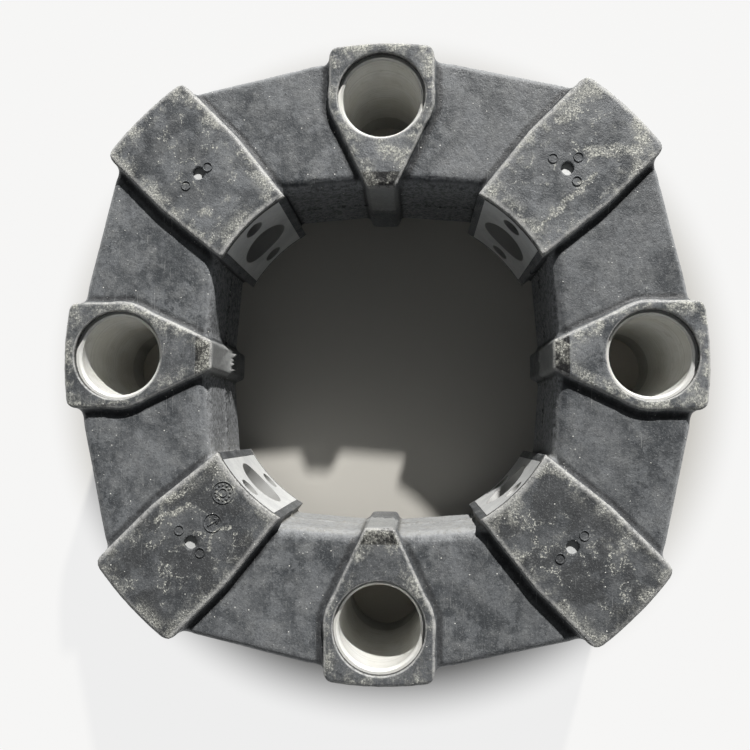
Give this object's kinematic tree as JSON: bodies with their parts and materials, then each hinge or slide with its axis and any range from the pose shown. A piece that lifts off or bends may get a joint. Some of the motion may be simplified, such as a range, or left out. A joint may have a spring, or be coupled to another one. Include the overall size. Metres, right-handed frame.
{
  "type": "flexible rubber coupling element",
  "caption": "Square-shouldered rubber ring for a flexible shaft coupling, moulded round metal bushes for axial bolts and concave metal inserts for radial bolts.",
  "frame": {"origin": "centre of the ring in the plane of the bush feet it lies on", "axes": "+Z along the axis of the ring, away from the feet; +X through the first axial bush, +Y through the next"},
  "size_m": [0.1996, 0.1996, 0.0595],
  "materials": {
    "rubber": "matte, dusty",
    "aluminium": "turned, dull"
  },
  "bodies": {
    "root": {"rubber_body": "rubber", "axial_bush_e": "aluminium", "axial_bush_n": "aluminium", "axial_bush_w": "aluminium", "axial_bush_s": "aluminium", "radial_insert_ne": "aluminium", "radial_insert_nw": "aluminium", "radial_insert_sw": "aluminium", "radial_insert_se": "aluminium"}
  },
  "joints": []
}
